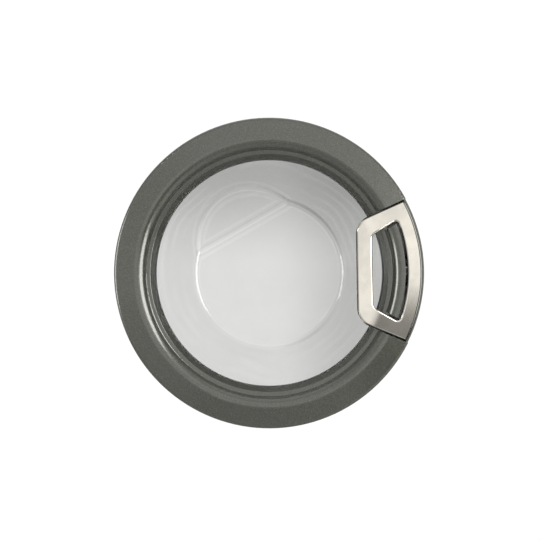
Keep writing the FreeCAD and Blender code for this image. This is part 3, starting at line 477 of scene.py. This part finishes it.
def make_glass():
    material, tree, shader = new_material("pressed_glass")
    shader.inputs["Transmission Weight"].default_value = 1.0
    shader.inputs["IOR"].default_value = 1.47
    shader.inputs["Metallic"].default_value = 0.0
    place = add_node(tree, "ShaderNodeTexCoord").outputs["Object"]
    waves = add_noise(tree, place, scale=9.0, detail=1.0)
    add_relief(tree, shader, waves, strength=0.08, distance=0.002)
    marks = add_noise(tree, place, scale=26.0, detail=5.0)
    tree.links.new(add_ramp(tree, marks, 0.45, 0.8, 0.0, 0.05, "LINEAR"), shader.inputs["Roughness"])
    colour = add_mix(tree, marks, shaded_glass_tone, marked_shaded_glass_tone)
    colour = add_mix(tree, add_swirls(tree, place), colour, swirl_tone)
    # Painted highlights along the bowl's rounded edges.
    colour = add_mix(tree, add_edge_highlight_mask(tree, place), colour, painted_highlight_tone)
    tree.links.new(colour, shader.inputs["Base Color"])
    return material


glass = make_glass()
print("finish:", glass.name)

# %% [markdown]
# Each solid now gets its finish. A table of node names reads more easily than a line for every node.

# %% Dress the solids
finishes = {
    "outer_ring": graphite,
    "inner_frame": grey_plastic,
    "glass_bowl": glass,
    "handle_grip": silver,
    "handle_back": black_plastic,
    "hinge_bush_upper": nylon,
    "hinge_bush_lower": nylon,
    "handle_spring": wire,
    "hook_spring": wire,
    "hinge_pin_clip": wire,
    "handle_pin_clip": wire,
    "hook_pin_clip": wire,
}
for name, solid in nodes.items():
    solid.data.materials.clear()
    solid.data.materials.append(finishes.get(name, zinc))
print("dressed", len(nodes), "solids")

# %% [markdown]
# The solids' screws are plain studs. Ours get a rounded head with a cross recess, which a boolean cuts most
# cleanly: two crossed bars are taken out of the head. First we find where each screw of a node stands: points
# that lie close together across the screws' axis belong to one screw.

# %% Find the screws of a node
def screw_boxes(node, reach=0.0085):
    """Lowest and highest corner of every screw in a node."""
    gathered = []
    for vertex in nodes[node].data.vertices:
        point = vertex.co
        for group in gathered:
            if math.hypot(point.x - group[0].x, point.z - group[0].z) < reach:
                group.append(point)
                break
        else:
            gathered.append([point])
    boxes = []
    for group in gathered:
        low = Vector([min(point[axis] for point in group) for axis in range(3)])
        high = Vector([max(point[axis] for point in group) for axis in range(3)])
        boxes.append((low, high))
    return boxes


print("frame screws:", len(screw_boxes("frame_screws")))

# %% [markdown]
# The screws are modelled with operators, and four helpers keep that short. One applies a modifier at once, one
# joins pieces and applies their transform, and two add a bar and a round.

# %% Helpers: modifiers and joins
def apply_modifier(piece, kind, **values):
    modifier = piece.modifiers.new(kind.lower(), kind)
    for name, value in values.items():
        setattr(modifier, name, value)
    bpy.context.view_layer.objects.active = piece
    bpy.ops.object.modifier_apply(modifier=modifier.name)


def join_pieces(pieces, name):
    bpy.ops.object.select_all(action="DESELECT")
    for piece in pieces:
        piece.select_set(True)
    bpy.context.view_layer.objects.active = pieces[0]
    if len(pieces) > 1:
        bpy.ops.object.join()
    bpy.ops.object.transform_apply(location=True, rotation=True, scale=True)
    pieces[0].name = name
    return pieces[0]


def add_bar(size, location):
    bpy.ops.object.select_all(action="DESELECT")
    bpy.ops.mesh.primitive_cube_add(size=1.0, location=location)
    bar = bpy.context.object
    bar.scale = size
    bpy.ops.object.transform_apply(location=True, rotation=True, scale=True)
    return bar


def add_round(radius, length, location, sides=36):
    bpy.ops.object.select_all(action="DESELECT")
    bpy.ops.mesh.primitive_cylinder_add(vertices=sides, radius=radius, depth=length, location=location)
    return bpy.context.object


# %% [markdown]
# One screw is a bevelled disc for the head, two crossed bars cut out of it for the driver, and a plain shank.
# It is made upright at the origin, where the sizes are easy to read, and only then turned to face the rear.

# %% Model one cross-head screw
head_height = 0.0018
head_bevel = 0.0008
shank_radius = 0.00195
shank_sides = 20
slot_width = 0.0009
slot_reach = 1.15


def make_screw(low, high, turn):
    head_radius = (high.x - low.x) / 2
    slot_length = head_radius * slot_reach
    shank_length = high.y - low.y - head_height
    head = add_round(head_radius, head_height, (0, 0, 0))
    apply_modifier(head, "BEVEL", width=head_bevel, segments=3, limit_method="ANGLE")
    first = add_bar((slot_length, slot_width, head_height), (0, 0, head_height / 2))
    second = add_bar((slot_width, slot_length, head_height), (0, 0, head_height / 2))
    for bar in (first, second):
        apply_modifier(head, "BOOLEAN", operation="DIFFERENCE", object=bar)
        bpy.data.objects.remove(bar)
    shank = add_round(shank_radius, shank_length, (0, 0, -(head_height + shank_length) / 2), shank_sides)
    screw = join_pieces([head, shank], "screw")
    screw.rotation_euler = (math.radians(-90), turn, 0)
    screw.location = ((low.x + high.x) / 2, high.y - head_height / 2, (low.z + high.z) / 2)
    return screw


# %% [markdown]
# Every node of screws becomes one piece that replaces it. No two screws stop at the same angle, so each is
# turned by a different amount about its axis.

# %% Set the screws
first_turn, turn_step = 11, 37
smooth_angle = math.radians(35)


def dress_screws(node, body):
    screws = []
    for index, (low, high) in enumerate(screw_boxes(node)):
        screws.append(make_screw(low, high, math.radians(turn_step * index + first_turn)))
    piece = join_pieces(screws, node + "_cross")
    bpy.ops.object.shade_smooth_by_angle(angle=smooth_angle)
    piece.data.materials.clear()
    piece.data.materials.append(zinc)
    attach(piece, body)
    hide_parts(node)
    return piece


for node, body in (("frame_screws", "door"), ("hinge_leaf_screws", "door"), ("handle_screws", "handle")):
    print("screws:", dress_screws(node, body).name)

# %% [markdown]
# The studio is plain: a pale floor below the hanging door and a white backdrop behind it. The backdrop is white to
# the camera and in reflections, and lets the room's soft light pass to the door's rear. What the glass shows of it
# is painted shade, greyer towards the top and the right.

# %% Floor and backdrop papers
floor_tones = (0.43, 0.43, 0.43, 1), (0.46, 0.46, 0.46, 1)
shade_height, shade_width = 0.31, 0.24


def make_floor_paper():
    material, tree, shader = new_material("pale_floor")
    shader.inputs["Roughness"].default_value = 0.9
    fibres = add_node(tree, "ShaderNodeTexNoise")
    fibres.inputs["Scale"].default_value = 30.0
    tone = add_mix(tree, fibres.outputs["Fac"], *floor_tones)
    tree.links.new(tone, shader.inputs["Base Color"])
    return material


def make_backdrop_paper(centre_z):
    material, tree, shader = new_material("white_backdrop")
    shader.inputs["Base Color"].default_value = (0.02, 0.02, 0.02, 1)
    shader.inputs["Roughness"].default_value = 0.9
    shader.inputs["Emission Color"].default_value = (1, 1, 1, 1)
    x, y, _ = split_vector(tree, add_node(tree, "ShaderNodeTexCoord").outputs["Object"])
    # Painted shade: what the glass shows of the backdrop greys towards the top and the right.
    upper = add_ramp(tree, y, centre_z, centre_z + shade_height, 1.0, 0.56)
    right = add_ramp(tree, x, 0.0, shade_width, 1.0, 0.71)
    shade = add_math(tree, "MULTIPLY", upper, right)
    path = add_node(tree, "ShaderNodeLightPath")
    seen = add_math(tree, "MAXIMUM", path.outputs["Is Camera Ray"], path.outputs["Is Glossy Ray"])
    shown = add_node(tree, "ShaderNodeMix", data_type="FLOAT")
    tree.links.new(path.outputs["Is Transmission Ray"], shown.inputs["Factor"])
    tree.links.new(seen, shown.inputs["A"])
    tree.links.new(shade, shown.inputs["B"])
    tree.links.new(shown.outputs["Result"], shader.inputs["Emission Strength"])
    return material


def make_stage_plane(name, size, location, rotation, material):
    bpy.ops.object.select_all(action="DESELECT")
    bpy.ops.mesh.primitive_plane_add(size=size, location=location, rotation=rotation)
    plane = bpy.context.object
    plane.name = name
    plane.data.materials.append(material)
    return plane


# %% [markdown]
# Both papers are plain planes. The door hangs well clear of the floor, so its shadow is wide and soft, and the
# backdrop stands far enough behind that the bowl and the open door never touch it.

# %% Set up floor and backdrop
floor_size = 4.0
floor_drop = 0.62
floor_z = door_z - door_radius - floor_drop
make_stage_plane("floor", floor_size, (door_x, 0, floor_z), (0, 0, 0), make_floor_paper())
backdrop_size = 8.0
backdrop_y = 1.6
backdrop_z = floor_z + backdrop_size / 2
backdrop = make_stage_plane(
    "backdrop", backdrop_size, (door_x, backdrop_y, backdrop_z), (math.radians(90), 0, 0),
    make_backdrop_paper(door_z - backdrop_z))
backdrop.visible_diffuse = False
print("floor at", round(floor_z, 3), "backdrop at", backdrop_y)

# %% [markdown]
# Two softboxes stand left and right of the camera. The right one is larger and stronger, and draws the long
# streak on the left of the ring's shoulder. The left one draws the streak that shows in the handle's opening.

# %% Softboxes
def make_softbox(name, azimuth, elevation, distance, width, height, power):
    """Area lamp aimed at the door, azimuth to the right of the camera's side."""
    turn = math.radians(azimuth)
    lift = math.radians(elevation)
    offset = Vector((math.sin(turn) * math.cos(lift), -math.cos(turn) * math.cos(lift), math.sin(lift)))
    lamp = bpy.data.lights.new(name, "AREA")
    lamp.shape = "RECTANGLE"
    lamp.size = width
    lamp.size_y = height
    lamp.energy = power
    holder = bpy.data.objects.new(name, lamp)
    bpy.context.collection.objects.link(holder)
    holder.location = Vector((door_x, door_front, door_z)) + offset * distance
    holder.rotation_euler = (-offset).to_track_quat("-Z", "Y").to_euler()


make_softbox("softbox_left", azimuth=-60, elevation=4, distance=1.7, width=0.6, height=0.9, power=9)
make_softbox("softbox_right", azimuth=56, elevation=5, distance=1.7, width=1.2, height=1.3, power=25)
print("softboxes: left and right")

# %% [markdown]
# The room itself is the world's colour, which only depends on the direction: grey underfoot and lighter overhead,
# with a large bright wall behind the camera that ends just below eye level. That edge is what splits the satin
# handle into a bright upper and a dark lower part. A soft glow behind the door lights its rear, and a little light
# from low on the left fills the lower part of the ring's shoulder.

# %% Room
world = bpy.data.worlds.new("grey_room")
bpy.context.scene.world = world
world.use_nodes = True
room = world.node_tree
direction = add_node(room, "ShaderNodeTexCoord")
x, y, z = split_vector(room, direction.outputs["Generated"])
height = add_ramp(room, z, -0.1, 0.7, 0.13, 0.5)
ceiling = add_ramp(room, z, 0.6, 0.95, 0.0, 0.4)
glow = add_ramp(room, y, 0.1, 0.6, 0.0, 0.4)
wall_low = add_ramp(room, z, -0.10, -0.04, 0.0, 0.93)
wall_middle = add_ramp(room, z, 0.0, 0.25, 1.0, 0.60)
wall_high = add_ramp(room, z, 0.5, 0.8, 1.0, 0.0)
wall_left = add_ramp(room, x, -0.45, -0.1, 0.55, 1.0)
wall_side = add_ramp(room, y, -0.8, -0.5, 1.0, 0.0)
wall = add_chain(room, "MULTIPLY", wall_low, wall_middle, wall_high, wall_left, wall_side)
left = add_ramp(room, x, 0.18, 0.3, 0.45, 0.0)
low = add_ramp(room, z, -0.1, -0.03, 1.0, 0.0)
fill = add_math(room, "MULTIPLY", left, low)
level = add_chain(room, "ADD", height, wall, glow, ceiling, fill)
room.links.new(level, room.nodes["Background"].inputs["Color"])
room.nodes["Background"].inputs["Strength"].default_value = 1.0
bpy.context.scene.view_settings.view_transform = "Standard"
print("room set")

# %% [markdown]
# The camera looks straight at the ring from about 1.8 metres. Its distance follows from the lens and from the
# size of the ring in the picture, and it leans by a degree because the door in the picture does.

# %% Camera
picture_size = 540
ring_centre_pixel = (269.3, 273.0)
ring_radius_pixels = 155.4
lens = 80.0
sensor = 36.0
lean = math.radians(0.95)
metres_per_pixel = door_radius / ring_radius_pixels
rim_setback = 0.009
rim_y = door_front + rim_setback
distance = metres_per_pixel * picture_size * lens / sensor
camera_data = bpy.data.cameras.new("camera")
camera_data.lens = lens
camera_data.sensor_width = sensor
camera = bpy.data.objects.new("camera", camera_data)
bpy.context.collection.objects.link(camera)
aside = (picture_size / 2 - ring_centre_pixel[0]) * metres_per_pixel
above = (ring_centre_pixel[1] - picture_size / 2) * metres_per_pixel
camera.location = (door_x + aside, rim_y - distance, door_z + above)
camera.rotation_euler = (math.radians(90), lean, 0)
bpy.context.scene.camera = camera
print(f"camera {distance:.3f} m from the rim")
